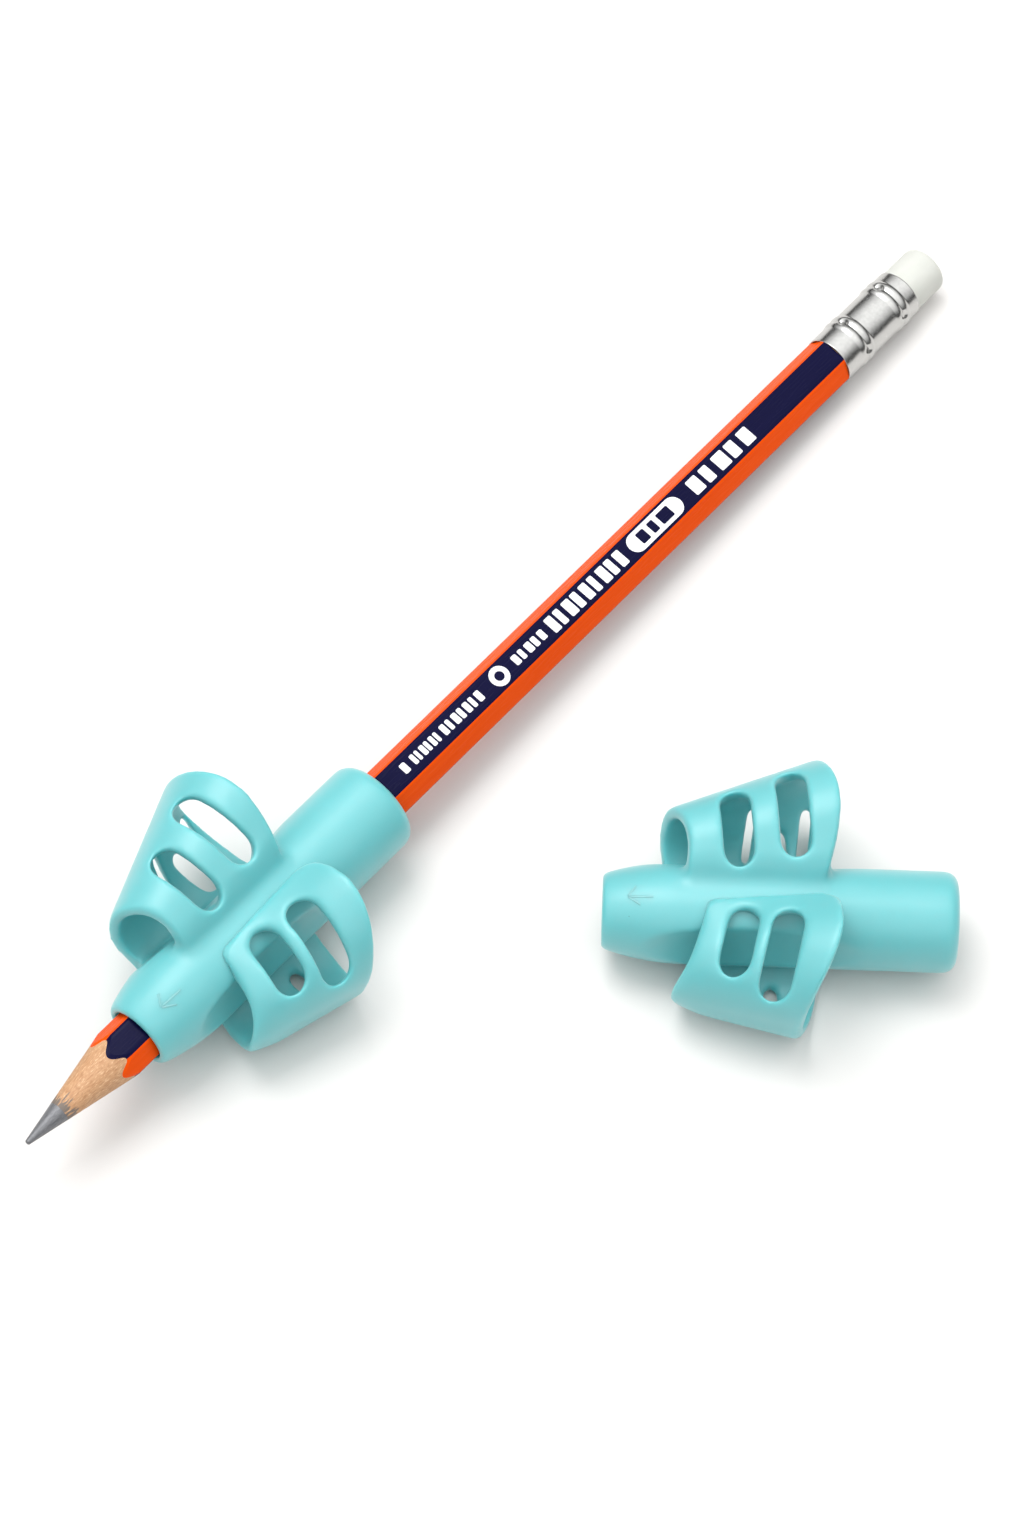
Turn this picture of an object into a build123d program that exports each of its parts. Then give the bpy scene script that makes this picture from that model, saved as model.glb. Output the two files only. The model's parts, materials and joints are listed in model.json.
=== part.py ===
from build123d import *
import os
from math import atan2, cos, hypot, pi, radians, sin, sqrt, tan

# All sizes are in millimetres, with +Z up.
# Each grip is drawn with X towards the eraser, +Y on the index side and its barrel axis on X.

# Pencil
pencil_length = 190.0
hex_flats = 7.0
hex_corner_r = 1.2
coat_t = 0.15
navy_half_angle = 31.0
lead_d = 3.1
glue_gap = 0.02
tip_r = 0.35
tip_round = 0.24
sharpen_half_angle = 11.3
ferrule_length = 16.2
ferrule_d = 7.8
ferrule_wall = 0.2
bead_height = 0.18
bead_width = 1.3
bead_centres = (3.9, 5.3, 12.2, 13.6)
eraser_out = 6.6
eraser_edge_r = 0.9
plug_play = 0.05
tenon_length = 8.4
pencil_roll = 9.0

# Grip barrel
barrel_length = 48.2
barrel_r = 6.9
nose_length = 11.1
nose_wall = 1.05
nose_round = 0.8
rear_round = 1.8
mouth_round = 0.3
bore_play = 0.15
scoop_depth = 1.5
scoop_r = 14.0
scoop_sweep_r = 75.0
scoop_x = -5.0
grip_from_tip = 44.9

# Finger sleeves
sleeve_wall = 1.85
web_rise = 0.6
flex_gap = 0.12
band_half = 1.05
underside_half = 2.0
web_corner_r = 4.0
slot_width = 4.0
slot_depth = 6.0
front_station = -9.7
rear_station = 7.8
loft_front = -19.0
loft_rear = 11.0
loft_steps = 6

# Each tunnel circle is (y, z, radius).
# Each rim is an arc in plan that bulges to the rear: (x and y of its crown, radius, lean of x in z).
# Each slot is (x, y, z, length between end centres, width, tilt, lean), its middle on the wall's outside.
index_sleeve = {
    "front": [(8.0, 2.3, 7.0), (8.35, 3.8, 7.2)],
    "rear": [(11.8, 2.0, 9.4), (12.65, 3.4, 10.2)],
    "front_rim": (-14.3, 2.0, 22.0, 0.2),
    "rear_rim": (6.85, 9.8, 21.0, 0.06),
    "slots": [
        (-6.2, 7.8, 10.9, 6.7, slot_width, -11.0, 6.0),
        (1.3, 9.8, 12.0, 8.5, slot_width, -9.5, 6.0),
        (-4.2, 14.8, -3.1, 7.0, 1.0, 138.0, 6.0),
        (0.1, 12.2, -5.4, 5.2, 2.4, 167.0, -8.0),
        (3.5, 15.2, -5.4, 7.4, 1.4, 154.0, 4.0),
    ],
    "scoop_angle": 18.0,
    "web_ends": (-11.6, 6.0),
}
thumb_sleeve = {
    "front": [(7.2, -1.75, 6.7), (7.2, 0.2, 6.8)],
    "rear": [(9.9, -0.1, 8.95), (9.35, 3.3, 9.9)],
    "front_rim": (-11.33, 2.5, 14.7, 0.14),
    "rear_rim": (6.66, 5.5, 20.6, 0.12),
    "slots": [
        (-5.55, 8.1, 8.3, 5.6, slot_width, 3.5, 11.3),
        (0.0, 11.1, 10.1, 8.4, slot_width, 18.4, 11.3),
        (-0.75, 8.9, -8.8, 2.2, 1.7, 180.0, 0.0),
    ],
    "scoop_angle": 12.0,
    "web_ends": (-9.6, 6.2),
}

# Where the two grips lie
grip_roll = 5.0
spare_x = 91.8
spare_y = -52.4
spare_turn = -51.0

bore_r = hex_flats / 2 / cos(pi / 6) - hex_corner_r * (1 / cos(pi / 6) - 1) + bore_play
half_barrel = barrel_length / 2
nose_start = half_barrel - nose_length
nose_drop = barrel_r - bore_r - nose_wall
nose_arc_r = (nose_length**2 + nose_drop**2) / (2 * nose_drop)
shaft_end = pencil_length - eraser_out - ferrule_length
side_plane = Plane(origin=(0, 0, 0), x_dir=(0, 1, 0), z_dir=(1, 0, 0))


# Pencil pieces, with the tip at X = 0
def rod(radius, x0, x1):
    plane = side_plane.offset(x0)
    return extrude(plane * Circle(radius), x1 - x0)


def hex_bar(flats, corner_r, x0, x1):
    outline = RegularPolygon(flats / 2, 6, major_radius=False)
    outline = fillet(outline.vertices(), corner_r)
    return extrude(side_plane.offset(x0) * outline, x1 - x0)


def sharpened_envelope():
    slope = tan(radians(sharpen_half_angle))
    wide = hex_flats
    shoulder = (wide - tip_r) / slope
    with BuildPart() as envelope:
        with BuildSketch(Plane.XY):
            with BuildLine():
                tail = pencil_length
                Polyline((0, 0), (0, tip_r), (shoulder, wide), (tail, wide), (tail, 0), close=True)
            make_face()
        revolve(axis=Axis.X)
    return envelope.part


def casing():
    wood_flats = hex_flats - 2 * coat_t
    bar = hex_bar(wood_flats, hex_corner_r, 0, shaft_end)
    tenon_r = ferrule_d / 2 - ferrule_wall - plug_play
    tenon = hex_bar(wood_flats, hex_corner_r, shaft_end, shaft_end + tenon_length)
    bar += tenon & rod(tenon_r, shaft_end, shaft_end + tenon_length)
    return bar - rod(lead_d / 2 + glue_gap, 0, pencil_length)


def lead():
    core = rod(lead_d / 2, 0, shaft_end + tenon_length) & sharpened_envelope()
    return fillet(core.edges().sort_by(Axis.X)[0], tip_round)


def stripe(number):
    # One face of lacquer: even faces are navy and a little wider than the orange ones.
    half_angle = navy_half_angle if number % 2 == 0 else 60 - navy_half_angle
    layer = hex_bar(hex_flats, hex_corner_r, 0, shaft_end)
    layer -= hex_bar(hex_flats - 2 * coat_t, hex_corner_r, 0, shaft_end)
    reach = 2 * hex_flats
    spread = reach * tan(radians(half_angle))
    wedge = make_face(Polyline((0, 0), (-spread, reach), (spread, reach), close=True))
    wedge = extrude(side_plane * wedge, shaft_end)
    return (layer & Rot(60 * number, 0, 0) * wedge) & sharpened_envelope()


def ferrule():
    inner_r = ferrule_d / 2 - ferrule_wall
    with BuildPart() as tube:
        with BuildSketch(Plane.XY):
            with Locations((ferrule_length / 2, ferrule_d / 4)):
                Rectangle(ferrule_length, ferrule_d / 2)
            ring_r = (bead_width**2 / 4 + bead_height**2) / (2 * bead_height)
            for x in bead_centres:
                with Locations((x, ferrule_d / 2 + bead_height - ring_r)):
                    Circle(ring_r)
            with Locations((ferrule_length / 2, inner_r / 2)):
                Rectangle(2 * ferrule_length, inner_r, mode=Mode.SUBTRACT)
            with Locations((ferrule_length / 2, -ferrule_d / 2)):
                Rectangle(2 * ferrule_length, ferrule_d, mode=Mode.SUBTRACT)
        revolve(axis=Axis.X)
    return Pos(shaft_end, 0, 0) * tube.part


def eraser():
    plug_r = ferrule_d / 2 - ferrule_wall - plug_play
    plug = rod(plug_r, shaft_end + tenon_length + plug_play, pencil_length)
    return fillet(plug.edges().sort_by(Axis.X)[-1], eraser_edge_r)


# Grip pieces, with the barrel centred on X = 0
def belt(circles, x):
    # Closed outline around circles given counter-clockwise, as tangent lines and arcs.
    count = len(circles)
    normals = []
    for i in range(count):
        y0, z0, r0 = circles[i]
        y1, z1, r1 = circles[(i + 1) % count]
        heading = atan2(z1 - z0, y1 - y0)
        lean = (r0 - r1) / hypot(y1 - y0, z1 - z0)
        normals.append(heading - atan2(sqrt(1 - lean**2), lean))
    pieces = []
    for i in range(count):
        y0, z0, r0 = circles[i]
        y1, z1, r1 = circles[(i + 1) % count]
        start = normals[i - 1]
        turn = (normals[i] - start) % (2 * pi)
        on_arc = [(y0 + r0 * cos(a), z0 + r0 * sin(a)) for a in (start, start + turn / 2, start + turn)]
        pieces.append(ThreePointArc(*on_arc))
        landing = (y1 + r1 * cos(normals[i]), z1 + r1 * sin(normals[i]))
        pieces.append(Line(on_arc[2], landing))
    return side_plane.offset(x) * make_face(pieces)


def tunnel_circles(sleeve, x, shrink):
    # Tunnel circles at x, run on in a straight line through the two measured stations.
    along = (x - front_station) / (rear_station - front_station)
    circles = []
    for front, rear in zip(sleeve["front"], sleeve["rear"]):
        y, z, r = [a + (b - a) * along for a, b in zip(front, rear)]
        circles.append((y, z, r - shrink))
    return circles


def skin(sleeve, shrink, *more):
    step = (loft_rear - loft_front) / loft_steps
    stations = [loft_front + i * step for i in range(loft_steps + 1)]
    faces = [belt([*more, *tunnel_circles(sleeve, x, shrink)], x) for x in stations]
    return loft(faces, ruled=True)


def rim_column(rim):
    x, y, radius, lean = rim
    outline = Pos(x - radius, y) * Circle(radius)
    return extrude(outline, 4 * barrel_r, dir=(lean, 0, 1), both=True)


def slot(place):
    x, y, z, length, width, tilt, lean = place
    outline = SlotCenterToCenter(length, width, rotation=90 + lean)
    cutter = extrude(outline, slot_depth, both=True)
    return Pos(x, y, z) * Rot(-tilt, 0, 0) * cutter


def finger_sleeve(sleeve):
    web = (0, 0, barrel_r + web_rise)
    shell = skin(sleeve, 0, web)
    shell = (shell & rim_column(sleeve["rear_rim"])) - rim_column(sleeve["front_rim"])
    reach = 4 * barrel_r
    front, rear = sleeve["web_ends"]
    corners = [(front, band_half), (rear, band_half), (rear + reach, reach), (front - reach, reach)]
    plan = make_face(Polyline(*corners, close=True))
    plan = fillet(plan.vertices().sort_by(Axis.Y)[:2], web_corner_r)
    upper = extrude(plan, reach)
    lower = Pos(0, underside_half + reach / 2, -reach / 2) * Box(2 * barrel_length, reach, reach)
    shell = shell & (upper + lower)
    shell -= skin(sleeve, sleeve_wall)
    shell -= rod(barrel_r + flex_gap, -barrel_length, barrel_length)
    for place in sleeve["slots"]:
        shell -= slot(place)
    return shell.solids().sort_by(SortBy.VOLUME)[-1]


def scoop(sleeve, side):
    ring = Torus(scoop_sweep_r, scoop_r)
    out = barrel_r - scoop_depth + scoop_r + scoop_sweep_r
    return Rot(side * sleeve["scoop_angle"], 0, 0) * Pos(scoop_x, side * out, 0) * ring


def barrel():
    def nose(x):
        return (x, barrel_r - nose_arc_r + sqrt(nose_arc_r**2 - (x + nose_start) ** 2))

    front = -half_barrel
    with BuildPart() as body:
        with BuildSketch(Plane.XY):
            with BuildLine():
                Line((half_barrel, bore_r), (half_barrel, barrel_r))
                Line((half_barrel, barrel_r), (-nose_start, barrel_r))
                ThreePointArc((-nose_start, barrel_r), nose((front - nose_start) / 2), nose(front))
                Line(nose(front), (front, bore_r))
                Line((front, bore_r), (half_barrel, bore_r))
            make_face()
        revolve(axis=Axis.X)
    tube = body.part
    for x, end_round in ((front, nose_round), (half_barrel, rear_round)):
        for outer, round_r in ((True, end_round), (False, mouth_round)):
            ends = tube.edges().filter_by(GeomType.CIRCLE).filter_by_position(Axis.X, x - 0.01, x + 0.01)
            ends = ends.sort_by(SortBy.RADIUS)
            tube = fillet(ends[-1] if outer else ends[0], round_r)
    tube -= scoop(index_sleeve, 1)
    tube -= scoop(thumb_sleeve, -1)
    return tube


# Placing
os.makedirs("parts", exist_ok=True)
grip = {
    "barrel": barrel(),
    "index_sleeve": finger_sleeve(index_sleeve),
    "thumb_sleeve": mirror(finger_sleeve(thumb_sleeve), Plane.XZ),
}
envelope = sharpened_envelope()
wood = casing() & envelope
slat_box = Box(2 * pencil_length, 4 * hex_flats, 4 * hex_flats)
pencil = {
    "upper_slat": wood & Pos(0, 0, 2 * hex_flats) * slat_box,
    "lower_slat": wood & Pos(0, 0, -2 * hex_flats) * slat_box,
    "graphite_lead": lead(),
    "ferrule": ferrule(),
    "eraser": eraser(),
}
stripe_names = (
    "navy_top",
    "orange_upper_right",
    "navy_lower_right",
    "orange_under",
    "navy_lower_left",
    "orange_upper_left",
)
for number, name in enumerate(stripe_names):
    pencil[name + "_stripe"] = stripe(number)


def lowest(place, *pieces):
    return min((place * piece).bounding_box().min.Z for piece in pieces)


def level(angle, end_angle, gap):
    # Angle between the two where the gap closes, found by halving.
    for _ in range(16):
        middle = (angle + end_angle) / 2
        if gap(middle) > 0:
            angle = middle
        else:
            end_angle = middle
    return (angle + end_angle) / 2


def tail_over_grip(angle):
    tail = lowest(Rot(0, angle, 0), pencil["eraser"], pencil["ferrule"])
    return tail - lowest(Rot(0, angle, 0) * grip_on_shaft, *grip.values())


def index_over_thumb(angle):
    return lowest(Rot(angle, 0, 0), grip["index_sleeve"]) - lowest(Rot(angle, 0, 0), grip["thumb_sleeve"])


# The tail and the fitted grip carry the pencil, so the shaft slopes between them.
grip_on_shaft = Pos(grip_from_tip, 0, 0) * Rot(grip_roll, 0, 0)
pitch = level(0, 6, tail_over_grip)
shaft = Rot(0, pitch, 0)
shaft = Pos(0, 0, -lowest(shaft, pencil["eraser"], pencil["ferrule"])) * shaft
fitted = shaft * grip_on_shaft
# The loose grip leans until both its sleeves touch the table.
lean = level(10, -30, index_over_thumb)
spare = Rot(0, 0, spare_turn) * Rot(lean, 0, 0)
spare = Pos(spare_x, spare_y, -lowest(spare, *grip.values())) * spare

placed = {name: shaft * Rot(pencil_roll, 0, 0) * piece for name, piece in pencil.items()}
placed.update({"fitted_" + name: fitted * piece for name, piece in grip.items()})
placed.update({"spare_" + name: spare * piece for name, piece in grip.items()})
boxes = [piece.bounding_box() for piece in placed.values()]
middle_x = (min(b.min.X for b in boxes) + max(b.max.X for b in boxes)) / 2
middle_y = (min(b.min.Y for b in boxes) + max(b.max.Y for b in boxes)) / 2
centre = Pos(-middle_x, -middle_y, -min(b.min.Z for b in boxes))
for name, piece in placed.items():
    export_step(centre * piece, "parts/" + name + ".step")
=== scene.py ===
import json
from math import cos, exp, pi, radians, sin

import bmesh
import bpy
import numpy as np
from mathutils import Matrix, Vector
from mathutils.bvhtree import BVHTree


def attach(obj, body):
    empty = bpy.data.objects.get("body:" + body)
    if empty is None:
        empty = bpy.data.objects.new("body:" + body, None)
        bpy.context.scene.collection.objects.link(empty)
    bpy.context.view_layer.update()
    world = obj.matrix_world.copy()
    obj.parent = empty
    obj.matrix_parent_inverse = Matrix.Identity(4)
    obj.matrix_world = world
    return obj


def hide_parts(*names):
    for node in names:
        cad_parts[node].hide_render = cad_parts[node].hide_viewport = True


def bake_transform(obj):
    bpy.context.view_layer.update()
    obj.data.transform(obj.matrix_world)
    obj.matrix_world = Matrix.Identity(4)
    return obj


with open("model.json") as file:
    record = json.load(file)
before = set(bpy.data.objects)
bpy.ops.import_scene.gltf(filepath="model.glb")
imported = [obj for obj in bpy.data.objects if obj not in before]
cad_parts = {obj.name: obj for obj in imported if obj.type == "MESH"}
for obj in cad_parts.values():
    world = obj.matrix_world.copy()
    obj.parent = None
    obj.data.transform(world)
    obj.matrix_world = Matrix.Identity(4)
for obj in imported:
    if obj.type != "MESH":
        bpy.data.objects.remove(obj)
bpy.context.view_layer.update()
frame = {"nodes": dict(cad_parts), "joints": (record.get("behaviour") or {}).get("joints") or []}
nodes = frame["nodes"]
joints = {joint["name"]: joint for joint in frame["joints"]}

# Lengths are in millimetres unless a name says otherwise; the frame is in metres.
MM = 0.001
GRIPS = ("fitted", "spare")
STRIPES = [name for name in nodes if name.endswith("_stripe")]

# Turn of each piece about its own long axis, in degrees
ROLL = {"fitted": 5.0, "spare": -4.896, "pencil": 9.0}

# Skins of the grips: their grain, and how far the gap between barrel and index sleeve is bridged
SEAM_GAP = 0.002
VOXEL = 0.2
WEB_BRIDGE = 0.4
BRIDGE_REACH = (8.6, 10.6)
KEPT_FACES = 0.45
EDGE_SPREAD = 4

# Rounding of the barrel with its index sleeve, of the thumb sleeve's lips and of the fillet
ROUNDING_STEPS = 36
LIP_STEPS = 70
FILLET_STEPS = 24

# Thumb sleeve's front lower tip: where it starts, its corner, and how that is drawn in
TIP_STEPS = 160
TIP_START = (-10.5, 7.0)
TIP_FADE = 2.5
TIP_CORNER = (-14.8, -11.9, -4.9)
TIP_ROUND = 2.0
TIP_PULL = (0.5, 0.4, 0.5)

# Roots of the sleeves on the barrel
BARREL_R = 6.9
ROOT_LINE = (1.2, 7.2)
ROOT_SPAN = (-11.5, 5.5)
ROOT_REACH = 2.6
ROOT_FADE = 1.4
ROOT_BLEND = (1.2, 4.4)
ROOT_SINK = 0.6
ROOT_TOP = 7.8

# Direction mark on the nose: places along the barrel and across it, the line's half thickness,
# how deep its middle lies, and the height from which it is laid down
ARROW_POINT = (-20.7, -1.1)
ARROW_ENDS = ((-17.0, -1.4), (-19.5, 0.5), (-18.8, -2.4))
ARROW_LINE = 0.2
ARROW_SINK = 0.12
ARROW_STEPS = 12
ARROW_DROP = 30.0
LINE_END = 0.2

# Pencil
FACE_HEIGHT = 3.5
LEAD_SHOWS = 6.0
FERRULE_R = 3.9
FERRULE_WALL = 0.2
FERRULE_STEP = 0.1
FERRULE_SIDES = 144
BEAD_HEIGHT = 0.18
BEAD_WIDTH = 1.3
BEAD_CENTRES = (3.9, 5.3, 12.2, 13.6)
DENT_CENTRES = (4.6, 12.9)
DENT_ANGLES = (58.0, 148.0, 238.0, 328.0)
DENT_DEPTH = 0.3
DENT_WIDTH = 0.62
ERASER_EDGE = 1.0
ERASER_PLAY = 0.05
ERASER_WEAR = 0.03
ERASER_SIDES = 96

# Plain print on the top face: rows of (start, end, bars, height), a ring and a lozenge
PRINT_LIFT = 0.02
PRINT_ROWS = (
    (73.2, 74.6, 1, 1.6),
    (75.2, 81.0, 6, 1.6),
    (81.4, 89.8, 7, 1.7),
    (96.4, 103.2, 5, 1.6),
    (104.0, 120.4, 9, 2.6),
    (134.8, 148.8, 5, 2.6),
)
BAR_SHARES = (0.72, 0.56, 0.78, 0.62)
BAR_CORNER = 0.22
RING = (91.8, 94.9, 1.55)
RING_HOLE = 0.75
LOZENGE = (121.3, 132.4, 1.55)
LOZENGE_BARS = ((123.4, 125.0), (125.8, 127.0), (127.8, 130.2))
LOZENGE_BAR_HEIGHT = 1.9

# View
VIEW_ELEVATION = 62.9
VIEW_TURN = 48.82
VIEW_TARGET = (-6.82, 19.505, 0.0)
VIEW_DISTANCE = 600.0
VIEW_LENS = 100.3

# Key light: size and distance in metres, power in watts, and its direction up, right and away
KEY_SIZE = 0.45
KEY_DISTANCE = 0.85
KEY_POWER = 3.6
KEY_DIRECTION = (1.2, -0.25, 0.35)


# Placing
def resting_place(origin, along, roll):
    """Matrix from a piece's own millimetres, with X on its long axis, to the frame's metres."""
    x = Vector(along).normalized()
    y = Vector((0, 0, 1)).cross(x).normalized()
    axes = Matrix((x, y, x.cross(y))).transposed().to_4x4()
    turn = Matrix.Rotation(radians(roll), 4, "X")
    return Matrix.Translation(origin) @ axes @ turn @ Matrix.Scale(MM, 4)


def pencil_place():
    axis = Vector(joints["grip_slide"]["axis"]).normalized()
    on_axis = Vector(joints["fitted_index_flex"]["pos_m"])
    tip = min((vertex.co - on_axis).dot(axis) for vertex in nodes["graphite_lead"].data.vertices)
    return resting_place(on_axis + axis * tip, axis, ROLL["pencil"])


def grip_place(which):
    flex = joints[which + "_index_flex"]
    return resting_place(flex["pos_m"], flex["axis"], ROLL[which])


def span_along(node, place):
    """Lowest and highest X of a node in a piece's own millimetres."""
    back = place.inverted()
    along = [(back @ vertex.co).x for vertex in nodes[node].data.vertices]
    return min(along), max(along)


# Mesh tools
def show(mesh, name, place=None):
    if place is not None:
        mesh.transform(place)
    shown = bpy.data.objects.new(name, mesh)
    bpy.context.scene.collection.objects.link(shown)
    return shown


def points_of(mesh):
    flat = np.empty(len(mesh.vertices) * 3, np.float32)
    mesh.vertices.foreach_get("co", flat)
    return flat.reshape(-1, 3).astype(float)


def move_points(mesh, points):
    mesh.vertices.foreach_set("co", points.astype(np.float32).ravel())
    mesh.update()


def normals_of(mesh):
    flat = np.empty(len(mesh.vertices) * 3, np.float32)
    mesh.vertex_normals.foreach_get("vector", flat)
    return flat.reshape(-1, 3).astype(float)


def edge_pairs(mesh):
    flat = np.empty(len(mesh.edges) * 2, np.int32)
    mesh.edges.foreach_get("vertices", flat)
    return flat.reshape(-1, 2).T


def neighbour_mean(values, pairs):
    a, b = pairs
    count = len(values)
    shares = np.bincount(a, minlength=count) + np.bincount(b, minlength=count)
    columns = [np.bincount(a, c[b], count) + np.bincount(b, c[a], count) for c in values.T]
    return np.stack(columns, 1) / shares[:, None]


def grow_near_barrel(mesh, distance):
    """Moves the skin out by a distance close to the barrel axis, fading to none further out."""
    points = points_of(mesh)
    near, far = BRIDGE_REACH
    share = np.clip((far - np.hypot(points[:, 1], points[:, 2])) / (far - near), 0, 1)
    move_points(mesh, points + distance * share[:, None] * normals_of(mesh))


def soften(mesh, steps, share=1.0):
    """Rounds edges: each step takes a point half way, or its share of that, to its neighbours' mean."""
    points = points_of(mesh)
    pairs = edge_pairs(mesh)
    for _ in range(steps):
        points += 0.5 * share * (neighbour_mean(points, pairs) - points)
    move_points(mesh, points)


def after_modifier(mesh, kind, **settings):
    carrier = show(mesh, "carrier")
    modifier = carrier.modifiers.new(kind, kind)
    for name, value in settings.items():
        setattr(modifier, name, value)
    ready = carrier.evaluated_get(bpy.context.evaluated_depsgraph_get())
    result = bpy.data.meshes.new_from_object(ready)
    bpy.data.objects.remove(carrier)
    return result


def even_skin(mesh):
    return after_modifier(mesh, "REMESH", mode="VOXEL", voxel_size=VOXEL)


def own_copy(node, place):
    """A node's mesh in the piece's own millimetres, with the seams of its faces joined."""
    copy = bmesh.new()
    copy.from_mesh(nodes[node].data)
    copy.transform(place.inverted())
    bmesh.ops.remove_doubles(copy, verts=copy.verts, dist=SEAM_GAP)
    mesh = bpy.data.meshes.new(node)
    copy.to_mesh(mesh)
    copy.free()
    return mesh


def joined(meshes):
    both = bmesh.new()
    for mesh in meshes:
        both.from_mesh(mesh)
    mesh = bpy.data.meshes.new("joined")
    both.to_mesh(mesh)
    both.free()
    return mesh


def mesh_from(name, points, faces):
    mesh = bpy.data.meshes.new(name)
    mesh.from_pydata(points, [], faces)
    mesh.shade_smooth()
    return mesh


def lathe(name, profile, sides, wobble=None):
    """Closed ring of a profile of (x, radius) turned about X, pushed in or out by wobble."""
    points = []
    for x, r in profile:
        for side in range(sides):
            angle = 2 * pi * side / sides
            radius = r + (wobble(x, r, angle) if wobble else 0)
            points.append((x, radius * cos(angle), radius * sin(angle)))
    faces = []
    rings = len(profile)
    for ring in range(rings):
        after = (ring + 1) % rings
        for side in range(sides):
            right = (side + 1) % sides
            here, there = ring * sides, after * sides
            faces.append((here + side, here + right, there + right, there + side))
    return mesh_from(name, points, faces)


def tube(path, radius, sides=8):
    """Round line through the points of a path, drawn to a point at both ends."""
    last = len(path) - 1
    points = []
    for i, centre in enumerate(path):
        along = (path[min(i + 1, last)] - path[max(i - 1, 0)]).normalized()
        across = along.orthogonal().normalized()
        size = radius * (LINE_END if i in (0, last) else 1.0)
        for side in range(sides):
            points.append(centre + size * (Matrix.Rotation(2 * pi * side / sides, 3, along) @ across))
    faces = []
    for i in range(last):
        for side in range(sides):
            right = (side + 1) % sides
            here, there = i * sides, (i + 1) * sides
            faces.append((here + side, here + right, there + right, there + side))
    return mesh_from("tube", points, faces)


# Grip pieces
def remember_mould(mesh, seed):
    """Keeps each point's place in the mould, and how convex the skin is there, for the finish."""
    points = points_of(mesh)
    place = mesh.attributes.new("mould", "FLOAT_VECTOR", "POINT")
    place.data.foreach_set("vector", (points + seed).astype(np.float32).ravel())
    pairs = edge_pairs(mesh)
    bulge = ((points - neighbour_mean(points, pairs)) * normals_of(mesh)).sum(1)[:, None]
    for _ in range(EDGE_SPREAD):
        bulge = neighbour_mean(bulge, pairs)
    edge = mesh.attributes.new("edge", "FLOAT", "POINT")
    edge.data.foreach_set("value", (bulge[:, 0] / VOXEL).astype(np.float32))


def finished_silicone(mesh, name, place, seed, finish):
    remember_mould(mesh, seed)
    mesh.name = name
    mesh.shade_smooth()
    mesh.materials.clear()
    mesh.materials.append(finish)
    piece = show(mesh, name, place)
    return piece


def root_share(points):
    """1 along the line where the index sleeve leaves the barrel, fading to 0 around it."""
    off = np.hypot(points[:, 1] - ROOT_LINE[0], points[:, 2] - ROOT_LINE[1])
    past = np.maximum(ROOT_SPAN[0] - points[:, 0], points[:, 0] - ROOT_SPAN[1])
    off = np.hypot(off, np.maximum(past, 0))
    return np.clip((ROOT_REACH - off) / ROOT_FADE, 0, 1)[:, None]


def flush_root(mesh):
    """Lays the sleeve's root down on the barrel, so that its top wall runs into it without a step."""
    points = points_of(mesh)
    radius = np.hypot(points[:, 1], points[:, 2])
    near, far = ROOT_BLEND
    share = np.clip((far - points[:, 1]) / (far - near), 0, 1) * (points[:, 2] > 0)
    points[:, 1:] *= (1 - share**2 * np.maximum(radius - BARREL_R, 0) / radius)[:, None]
    move_points(mesh, points)


def barrel_with_index_loop(which, place):
    """Barrel and index sleeve as the one moulding that they are, with a fillet where they meet."""
    skins = [even_skin(own_copy(which + end, place)) for end in ("_barrel", "_index_sleeve")]
    flush_root(skins[1])
    for skin in skins:
        grow_near_barrel(skin, WEB_BRIDGE)
    mesh = even_skin(joined(skins))
    grow_near_barrel(mesh, -WEB_BRIDGE)
    soften(mesh, ROUNDING_STEPS)
    soften(mesh, FILLET_STEPS, root_share(points_of(mesh)))
    return after_modifier(mesh, "DECIMATE", ratio=KEPT_FACES)


def thumb_loop(which, place):
    """Thumb sleeve with a round front tip, its root drawn into the barrel so that a crease shows."""
    mesh = even_skin(own_copy(which + "_thumb_sleeve", place))
    points = points_of(mesh)
    off = ((points - TIP_CORNER) ** 2).sum(1) / TIP_ROUND**2
    move_points(mesh, points + np.exp(-off / 2)[:, None] * TIP_PULL)
    soften(mesh, LIP_STEPS)
    points = points_of(mesh)
    in_front, outward = TIP_START
    tip = np.clip((in_front - points[:, 0]) / TIP_FADE, 0, 1)
    tip *= np.clip((-outward - points[:, 1]) / TIP_FADE, 0, 1)
    soften(mesh, TIP_STEPS, tip[:, None])
    points = points_of(mesh)
    radius = np.hypot(points[:, 1], points[:, 2])
    sink = ROOT_SINK * np.clip((ROOT_TOP - radius) / ROOT_SINK, 0, 1)
    points[:, 1:] *= (1 - sink / radius)[:, None]
    move_points(mesh, points)
    return after_modifier(mesh, "DECIMATE", ratio=KEPT_FACES)


def arrow_mark(body):
    """Raised line arrow on the nose, pointing to the writing end, laid on the body's skin."""
    skin = BVHTree.FromPolygons([v.co for v in body.vertices], [p.vertices for p in body.polygons])
    strokes = []
    for end in ARROW_ENDS:
        path = []
        for step in range(ARROW_STEPS + 1):
            x, y = (a + (b - a) * step / ARROW_STEPS for a, b in zip(ARROW_POINT, end))
            hit, normal, _, _ = skin.ray_cast(Vector((x, y, ARROW_DROP)), Vector((0, 0, -1)))
            path.append(hit - normal * ARROW_SINK)
        strokes.append(tube(path, ARROW_LINE))
    return joined(strokes)


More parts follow.
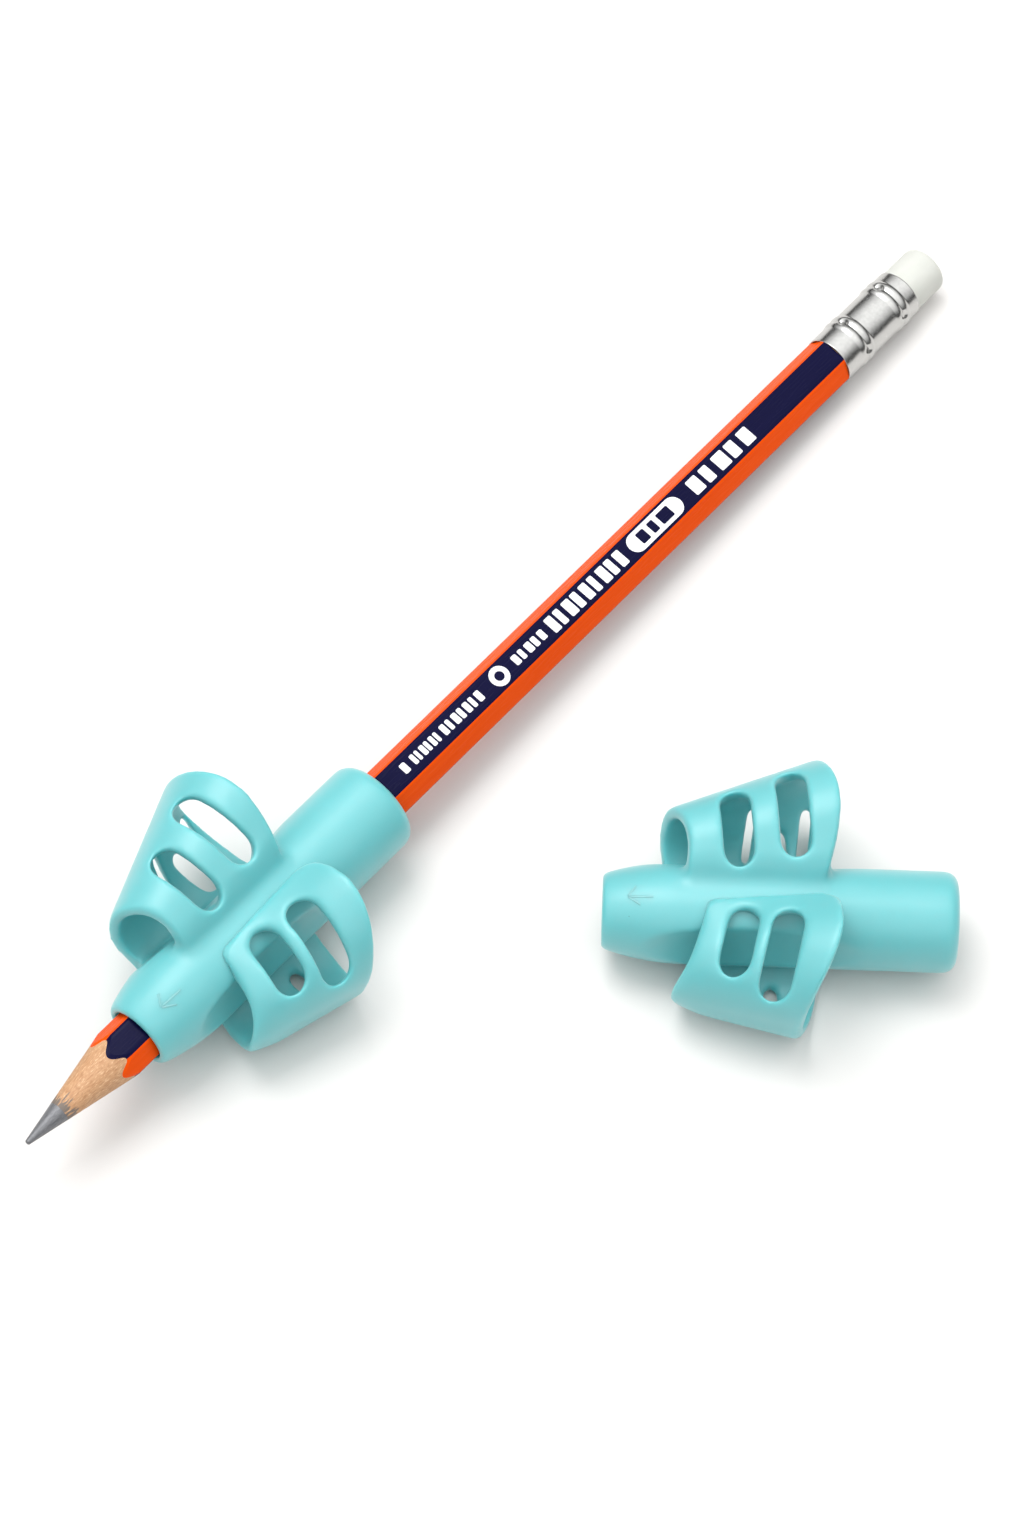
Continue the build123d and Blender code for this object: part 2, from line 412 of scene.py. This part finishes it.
def silicone_grip(which, finish, line_finish):
    place = grip_place(which)
    seed = 100.0 * GRIPS.index(which)
    body = barrel_with_index_loop(which, place)
    arrow = finished_silicone(arrow_mark(body), which + "_direction_arrow", place, seed, line_finish)
    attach(arrow, which + "_grip")
    body = finished_silicone(body, which + "_grip_body", place, seed, finish)
    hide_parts(which + "_barrel", which + "_index_sleeve")
    loop = finished_silicone(thumb_loop(which, place), which + "_thumb_loop", place, seed, finish)
    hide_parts(which + "_thumb_sleeve")
    for piece, finger, way in ((body, "_index", 1), (loop, "_thumb", -1)):
        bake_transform(piece)


# Pencil pieces
def pencil_axes(place):
    """Empty with the pencil's own millimetres, from which its finishes take their patterns."""
    axes = bpy.data.objects.new("pencil_axes", None)
    bpy.context.scene.collection.objects.link(axes)
    axes.matrix_world = place
    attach(axes, "pencil")
    return axes


def dress(piece, finish):
    piece.data.materials.clear()
    piece.data.materials.append(finish)


def on_pencil(mesh, name, place, finish):
    piece = show(mesh, name, place)
    dress(piece, finish)
    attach(piece, "pencil")
    return piece


def ferrule_tube(place, finish):
    """Rolled tube with two double beads, and punched dents between the beads of each pair."""
    front, rear = span_along("ferrule", place)
    length = rear - front
    steps = round(length / FERRULE_STEP)
    inner = FERRULE_R - FERRULE_WALL

    def outer(x):
        beads = (abs(x - centre) / (BEAD_WIDTH / 2) for centre in BEAD_CENTRES)
        return FERRULE_R + BEAD_HEIGHT * max(max(1 - near**2, 0) for near in beads)

    def dent(x, r, angle):
        depth = 0.0
        if r > inner + FERRULE_WALL / 2:
            for centre in DENT_CENTRES:
                for turn in DENT_ANGLES:
                    round_by = FERRULE_R * ((angle - radians(turn) + pi) % (2 * pi) - pi)
                    depth += exp(-(((x - front - centre) ** 2 + round_by**2) / DENT_WIDTH**2) ** 2)
        return -DENT_DEPTH * depth

    profile = [(front + length * i / steps, outer(length * i / steps)) for i in range(steps + 1)]
    profile += [(rear, inner), (front, inner)]
    piece = on_pencil(lathe("ferrule", profile, FERRULE_SIDES, dent), "ferrule_tube", place, finish)
    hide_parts("ferrule")


def eraser_plug(place, finish):
    """White plug with a rounded, slightly uneven end."""
    front, rear = span_along("eraser", place)
    radius = FERRULE_R - FERRULE_WALL - ERASER_PLAY

    def uneven(x, r, angle):
        worn = max(0.0, (x - rear + 2 * ERASER_EDGE) / ERASER_EDGE)
        return ERASER_WEAR * r * worn * sin(2 * angle + 0.7) / radius

    turns = [radians(9 * i) for i in range(11)]
    bend = [(ERASER_EDGE * sin(turn), ERASER_EDGE * (1 - cos(turn))) for turn in turns]
    profile = [(front, 0.01), (front, radius)]
    profile += [(front + (rear - ERASER_EDGE - front) * i / 20, radius) for i in range(1, 20)]
    profile += [(rear - ERASER_EDGE + along, radius - down) for along, down in bend]
    profile += [(rear, (radius - ERASER_EDGE) * (1 - i / 8) + 0.01) for i in range(1, 9)]
    piece = on_pencil(lathe("eraser", profile, ERASER_SIDES, uneven), "eraser_plug", place, finish)
    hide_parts("eraser")


def round_bar(x0, x1, half, corner, steps=6):
    """Outline of a bar with round corners, along the pencil."""
    corners = ((x1, half, 0), (x0, half, 90), (x0, -half, 180), (x1, -half, 270))
    outline = []
    for x, y, start in corners:
        inset_x = x - corner if x == x1 else x + corner
        inset_y = y - corner if y > 0 else y + corner
        for step in range(steps + 1):
            angle = radians(start + 90 * step / steps)
            outline.append((inset_x + corner * cos(angle), inset_y + corner * sin(angle)))
    return outline


def print_plates(name, outlines, lift, place, finish):
    points = []
    faces = []
    for outline in outlines:
        faces.append(range(len(points), len(points) + len(outline)))
        points += [(x, y, FACE_HEIGHT + lift) for x, y in outline]
    on_pencil(mesh_from(name, points, faces), name, place, finish)


def plain_print(place, ink, ground):
    """Plain bars, a ring and a lozenge where such pencils are printed, without words or signs."""
    start, end, half = RING
    ring = round_bar(start, end, half, half)
    hole = round_bar((start + end) / 2 - RING_HOLE, (start + end) / 2 + RING_HOLE, RING_HOLE, RING_HOLE)
    lozenge = round_bar(*LOZENGE, LOZENGE[2])
    bars = []
    for start, end, count, height in PRINT_ROWS:
        pitch = (end - start) / count
        for i in range(count):
            x = start + pitch * i
            width = pitch * BAR_SHARES[i % len(BAR_SHARES)]
            bars.append(round_bar(x, x + width, height / 2, BAR_CORNER))
    print_plates("white_print", [ring, lozenge, *bars], PRINT_LIFT, place, ink)
    dark = [round_bar(a, b, LOZENGE_BAR_HEIGHT / 2, BAR_CORNER) for a, b in LOZENGE_BARS]
    print_plates("print_openings", [hole, *dark], 2 * PRINT_LIFT, place, ground)


# Finishes
def linear(hex_colour):
    """Linear colour of an sRGB hex value."""
    channels = [int(hex_colour[i : i + 2], 16) / 255 for i in (1, 3, 5)]
    return (*[c / 12.92 if c <= 0.04045 else ((c + 0.055) / 1.055) ** 2.4 for c in channels], 1.0)


def add(tree, kind, inputs, **settings):
    """Adds a shader node with its settings, and its inputs as values or links."""
    made = tree.nodes.new("ShaderNode" + kind)
    for name, value in settings.items():
        setattr(made, name, value)
    for socket, value in inputs.items():
        if isinstance(value, bpy.types.NodeSocket):
            tree.links.new(value, made.inputs[socket])
        else:
            made.inputs[socket].default_value = value
    return made


def blank_finish(name):
    finish = bpy.data.materials.new(name)
    finish.use_nodes = True
    finish.node_tree.nodes.clear()
    return finish, finish.node_tree


def moulded_silicone(name, light_inside):
    # Pigmented silicone rubber from a polished mould: satin, with light bleeding through thin rims,
    # a pale bloom on handled edges and a few specks of dust that cling to it.
    finish, tree = blank_finish(name)
    place = add(tree, "Attribute", {}, attribute_name="mould").outputs["Vector"]
    edge = add(tree, "Attribute", {}, attribute_name="edge").outputs["Fac"]
    cloud = add(tree, "TexNoise", {"Vector": place, "Scale": 1 / 9.0, "Detail": 3.0}).outputs["Fac"]
    tint = add(tree, "Mix", {0: cloud, 6: linear("#65B9BC"), 7: linear("#6FBFC3")}, data_type="RGBA")
    bloom = add(tree, "MapRange", {"Value": edge, "From Min": 0.02, "From Max": 0.12, "To Max": 0.3})
    pale = add(
        tree,
        "Mix",
        {0: bloom.outputs["Result"], 6: tint.outputs[2], 7: linear("#92CDCF")},
        data_type="RGBA",
    )
    cells = add(tree, "TexVoronoi", {"Vector": place, "Scale": 1 / 7.0})
    speck = add(tree, "Math", {0: cells.outputs["Distance"], 1: 0.13 / 7.0}, operation="LESS_THAN")
    faint = add(tree, "Math", {0: speck.outputs[0], 1: 0.6}, operation="MULTIPLY")
    colour = add(
        tree,
        "Mix",
        {0: faint.outputs[0], 6: pale.outputs[2], 7: linear("#2F5557")},
        data_type="RGBA",
    )
    gloss = add(tree, "MapRange", {"Value": cloud, "To Min": 0.3, "To Max": 0.4})
    grit = add(tree, "TexNoise", {"Vector": place, "Scale": 1 / 0.5, "Detail": 2.0})
    bump = add(tree, "Bump", {"Height": grit.outputs["Fac"], "Strength": 0.06, "Distance": 0.05 * MM})
    shader = add(
        tree,
        "BsdfPrincipled",
        {
            "Base Color": colour.outputs[2],
            "Roughness": gloss.outputs["Result"],
            "IOR": 1.41,
            "Specular IOR Level": 0.4,
            "Coat Weight": 0.8,
            "Coat Roughness": 0.45,
            "Subsurface Weight": light_inside,
            "Subsurface Radius": (0.35, 1.0, 1.0),
            "Subsurface Scale": 2.2 * MM,
            "Normal": bump.outputs["Normal"],
        },
    )
    add(tree, "OutputMaterial", {"Surface": shader.outputs[0]})
    return finish


def pencil_pattern(tree, axes, along, across, detail):
    """Noise drawn out along the pencil: its length and width in millimetres."""
    own = add(tree, "TexCoord", {}, object=axes).outputs["Object"]
    scale = (1 / along, 1 / across, 1 / across)
    drawn = add(tree, "Mapping", {"Vector": own, "Scale": scale}).outputs["Vector"]
    return add(tree, "TexNoise", {"Vector": drawn, "Scale": 1.0, "Detail": detail}).outputs["Fac"]


def gloss_lacquer(name, axes, deep, bright, shine):
    # Dipped lacquer over wood: a deep colour under a soft gloss, with long faint streaks from dipping
    # along the pencil, small scuffs that dull it, and the grain telegraphing through.
    finish, tree = blank_finish(name)
    streak = pencil_pattern(tree, axes, 25.0, 1.2, 4.0)
    scuff = pencil_pattern(tree, axes, 3.0, 0.25, 3.0)
    grain = pencil_pattern(tree, axes, 6.0, 0.18, 2.0)
    tint = add(tree, "Mix", {0: streak, 6: linear(deep), 7: linear(bright)}, data_type="RGBA")
    dull = add(
        tree,
        "MapRange",
        {"Value": scuff, "From Min": 0.45, "From Max": 0.8, "To Min": 0.2, "To Max": 0.42},
    )
    bump = add(tree, "Bump", {"Height": grain, "Strength": 0.08, "Distance": 0.04 * MM})
    shader = add(
        tree,
        "BsdfPrincipled",
        {
            "Base Color": tint.outputs[2],
            "Roughness": dull.outputs["Result"],
            "Specular IOR Level": shine,
            "Normal": bump.outputs["Normal"],
        },
    )
    add(tree, "OutputMaterial", {"Surface": shader.outputs[0]})
    return finish


def sharpened_wood(axes):
    # Bare cedar cut by a sharpener: fine grain and pale flecks along the pencil, darker pores,
    # and a grey smear of graphite with a torn edge where the lead comes out.
    finish, tree = blank_finish("Sharpened_wood")
    own = add(tree, "TexCoord", {}, object=axes).outputs["Object"]
    along = add(tree, "SeparateXYZ", {"Vector": own}).outputs["X"]
    grain = pencil_pattern(tree, axes, 5.0, 0.22, 4.0)
    fleck = pencil_pattern(tree, axes, 0.9, 0.16, 2.0)
    torn = pencil_pattern(tree, axes, 4.0, 0.3, 3.0)
    ground = add(tree, "Mix", {0: grain, 6: linear("#B47F54"), 7: linear("#D1A881")}, data_type="RGBA")
    pores = add(
        tree,
        "MapRange",
        {"Value": fleck, "From Min": 0.34, "From Max": 0.46, "To Min": 0.45, "To Max": 0.0},
    )
    dark = add(
        tree,
        "Mix",
        {0: pores.outputs["Result"], 6: ground.outputs[2], 7: linear("#9A6A42")},
        data_type="RGBA",
    )
    pale = add(tree, "MapRange", {"Value": fleck, "From Min": 0.58, "From Max": 0.7, "To Max": 0.6})
    wood = add(
        tree,
        "Mix",
        {0: pale.outputs["Result"], 6: dark.outputs[2], 7: linear("#F0CFA8")},
        data_type="RGBA",
    )
    reach = add(
        tree,
        "MapRange",
        {"Value": torn, "From Min": 0.35, "From Max": 0.7, "To Min": 0.0, "To Max": 2.6},
    )
    edge = add(tree, "Math", {0: along, 1: reach.outputs["Result"]}, operation="SUBTRACT").outputs[0]
    smear = add(
        tree,
        "MapRange",
        {
            "Value": edge,
            "From Min": LEAD_SHOWS - 0.5,
            "From Max": LEAD_SHOWS + 0.5,
            "To Min": 0.9,
            "To Max": 0.0,
        },
    )
    colour = add(
        tree,
        "Mix",
        {0: smear.outputs["Result"], 6: wood.outputs[2], 7: linear("#6A6560")},
        data_type="RGBA",
    )
    bump = add(tree, "Bump", {"Height": fleck, "Strength": 0.35, "Distance": 0.05 * MM})
    shader = add(
        tree,
        "BsdfPrincipled",
        {"Base Color": colour.outputs[2], "Roughness": 0.62, "Normal": bump.outputs["Normal"]},
    )
    add(tree, "OutputMaterial", {"Surface": shader.outputs[0]})
    return finish


def satin_graphite(axes):
    # Graphite scraped to a point: dark grey with a soft metallic sheen, ribbed along its length
    # by the blade.
    finish, tree = blank_finish("Satin_graphite")
    rib = pencil_pattern(tree, axes, 6.0, 0.12, 3.0)
    tint = add(tree, "Mix", {0: rib, 6: linear("#4E4F53"), 7: linear("#8F9093")}, data_type="RGBA")
    gloss = add(tree, "MapRange", {"Value": rib, "To Min": 0.3, "To Max": 0.5})
    bump = add(tree, "Bump", {"Height": rib, "Strength": 0.4, "Distance": 0.05 * MM})
    shader = add(
        tree,
        "BsdfPrincipled",
        {
            "Base Color": tint.outputs[2],
            "Metallic": 0.35,
            "Roughness": gloss.outputs["Result"],
            "Normal": bump.outputs["Normal"],
        },
    )
    add(tree, "OutputMaterial", {"Surface": shader.outputs[0]})
    return finish


def rolled_aluminium(axes):
    # Thin bright aluminium rolled round the end: mirror-like, with slow waves in the sheet that
    # bend its reflections and fine handling scratches.
    finish, tree = blank_finish("Rolled_aluminium")
    wave = pencil_pattern(tree, axes, 4.0, 2.4, 1.0)
    scratch = pencil_pattern(tree, axes, 0.5, 0.5, 4.0)
    gloss = add(tree, "MapRange", {"Value": scratch, "To Min": 0.16, "To Max": 0.32})
    tint = add(tree, "Mix", {0: scratch, 6: linear("#B6B6B4"), 7: linear("#CCCCCA")}, data_type="RGBA")
    waves = add(tree, "Bump", {"Height": wave, "Strength": 0.25, "Distance": 0.3 * MM})
    bump = add(
        tree,
        "Bump",
        {"Height": scratch, "Strength": 0.06, "Distance": 0.03 * MM, "Normal": waves.outputs["Normal"]},
    )
    shader = add(
        tree,
        "BsdfPrincipled",
        {
            "Base Color": tint.outputs[2],
            "Metallic": 1.0,
            "Roughness": gloss.outputs["Result"],
            "Normal": bump.outputs["Normal"],
        },
    )
    add(tree, "OutputMaterial", {"Surface": shader.outputs[0]})
    return finish


def eraser_vinyl(axes):
    # Soft white eraser: matt with a dusting of crumbs, faint warm clouds and light inside it.
    finish, tree = blank_finish("Eraser_rubber")
    cloud = pencil_pattern(tree, axes, 3.0, 2.0, 3.0)
    crumb = pencil_pattern(tree, axes, 0.18, 0.18, 3.0)
    tint = add(tree, "Mix", {0: cloud, 6: linear("#C6C8C1"), 7: linear("#D4D5CF")}, data_type="RGBA")
    gloss = add(tree, "MapRange", {"Value": crumb, "To Min": 0.45, "To Max": 0.7})
    bump = add(tree, "Bump", {"Height": crumb, "Strength": 0.15, "Distance": 0.04 * MM})
    shader = add(
        tree,
        "BsdfPrincipled",
        {
            "Base Color": tint.outputs[2],
            "Roughness": gloss.outputs["Result"],
            "Subsurface Weight": 0.3,
            "Subsurface Radius": (1.0, 0.95, 0.85),
            "Subsurface Scale": 0.8 * MM,
            "Normal": bump.outputs["Normal"],
        },
    )
    add(tree, "OutputMaterial", {"Surface": shader.outputs[0]})
    return finish


def print_ink(axes):
    # White pad-printed ink: nearly matt, a little thin in places so that the ground shows through.
    finish, tree = blank_finish("White_print_ink")
    thin = pencil_pattern(tree, axes, 0.6, 0.4, 3.0)
    share = add(
        tree,
        "MapRange",
        {"Value": thin, "From Min": 0.3, "From Max": 0.5, "To Min": 0.75, "To Max": 1.0},
    )
    tint = add(
        tree,
        "Mix",
        {0: share.outputs["Result"], 6: linear("#B9BAD0"), 7: linear("#F3F3F6")},
        data_type="RGBA",
    )
    gloss = add(tree, "MapRange", {"Value": thin, "To Min": 0.35, "To Max": 0.6})
    shader = add(
        tree,
        "BsdfPrincipled",
        {"Base Color": tint.outputs[2], "Roughness": gloss.outputs["Result"]},
    )
    add(tree, "OutputMaterial", {"Surface": shader.outputs[0]})
    return finish


silicone = moulded_silicone("Moulded_silicone", 0.65)
# The raised line is so thin that the full light inside it would leave it grey
raised_line = moulded_silicone("Moulded_silicone_line", 0.3)
for which in GRIPS:
    silicone_grip(which, silicone, raised_line)

on_shaft = pencil_place()
axes = pencil_axes(on_shaft)
navy = gloss_lacquer("Navy_lacquer", axes, "#09092D", "#0F0F36", 0.06)
orange = gloss_lacquer("Orange_lacquer", axes, "#E64A09", "#F2570D", 0.03)
wood = sharpened_wood(axes)
for node in STRIPES:
    dress(nodes[node], navy if node.startswith("navy") else orange)
for node in ("upper_slat", "lower_slat"):
    dress(nodes[node], wood)
dress(nodes["graphite_lead"], satin_graphite(axes))
ferrule_tube(on_shaft, rolled_aluminium(axes))
eraser_plug(on_shaft, eraser_vinyl(axes))
plain_print(on_shaft, print_ink(axes), navy)


# Stage
def pale_floor():
    bpy.ops.mesh.primitive_plane_add(size=8.0)
    floor = bpy.context.object
    floor.name = "pale_floor"
    finish, tree = blank_finish("Matt_white_card")
    shader = add(tree, "BsdfPrincipled", {"Base Color": linear("#E4E2E0"), "Roughness": 0.9})
    add(tree, "OutputMaterial", {"Surface": shader.outputs[0]})
    floor.data.materials.append(finish)


def softbox(name, size, power, direction, distance):
    light = bpy.data.lights.new(name, "AREA")
    light.size = size
    light.energy = power
    box = bpy.data.objects.new(name, light)
    bpy.context.scene.collection.objects.link(box)
    towards = Vector(direction).normalized()
    box.location = Vector(VIEW_TARGET) * MM + towards * distance
    box.rotation_mode = "QUATERNION"
    box.rotation_quaternion = towards.to_track_quat("Z", "Y")


def view_axes():
    turn = radians(VIEW_TURN)
    tilt = radians(VIEW_ELEVATION)
    right = Vector((cos(turn), -sin(turn), 0))
    away = Vector((sin(turn), cos(turn), 0))
    back = Vector((0, 0, sin(tilt))) - away * cos(tilt)
    return right, away, back


def photo_camera():
    right, _, back = view_axes()
    lens = bpy.data.cameras.new("photo_camera")
    lens.sensor_width = 36.0
    lens.lens = VIEW_LENS
    lens.clip_start = 0.01
    camera = bpy.data.objects.new("photo_camera", lens)
    bpy.context.scene.collection.objects.link(camera)
    turned = Matrix((right, back.cross(right), back)).transposed().to_4x4()
    camera.matrix_world = Matrix.Translation((Vector(VIEW_TARGET) + back * VIEW_DISTANCE) * MM) @ turned
    bpy.context.scene.camera = camera


def studio_light():
    right, away, _ = view_axes()
    up = Vector((0, 0, 1))
    rise, aside, beyond = KEY_DIRECTION
    softbox("key_softbox", KEY_SIZE, KEY_POWER, up * rise + right * aside + away * beyond, KEY_DISTANCE)
    # A room with a bright ceiling and dim walls, which the ferrule shows as a dark streak
    world = bpy.data.worlds.new("studio")
    world.use_nodes = True
    tree = world.node_tree
    tree.nodes.clear()
    direction = add(tree, "TexCoord", {}).outputs["Generated"]
    height = add(tree, "SeparateXYZ", {"Vector": direction}).outputs["Z"]
    glow = add(
        tree,
        "MapRange",
        {"Value": height, "From Min": 0.25, "From Max": 0.85, "To Min": 0.05, "To Max": 1.7},
    )
    sky = add(tree, "Background", {"Color": linear("#FFFFFF"), "Strength": glow.outputs["Result"]})
    add(tree, "OutputWorld", {"Surface": sky.outputs[0]})
    bpy.context.scene.world = world
    bpy.context.scene.view_settings.view_transform = "Standard"


pale_floor()
photo_camera()
studio_light()
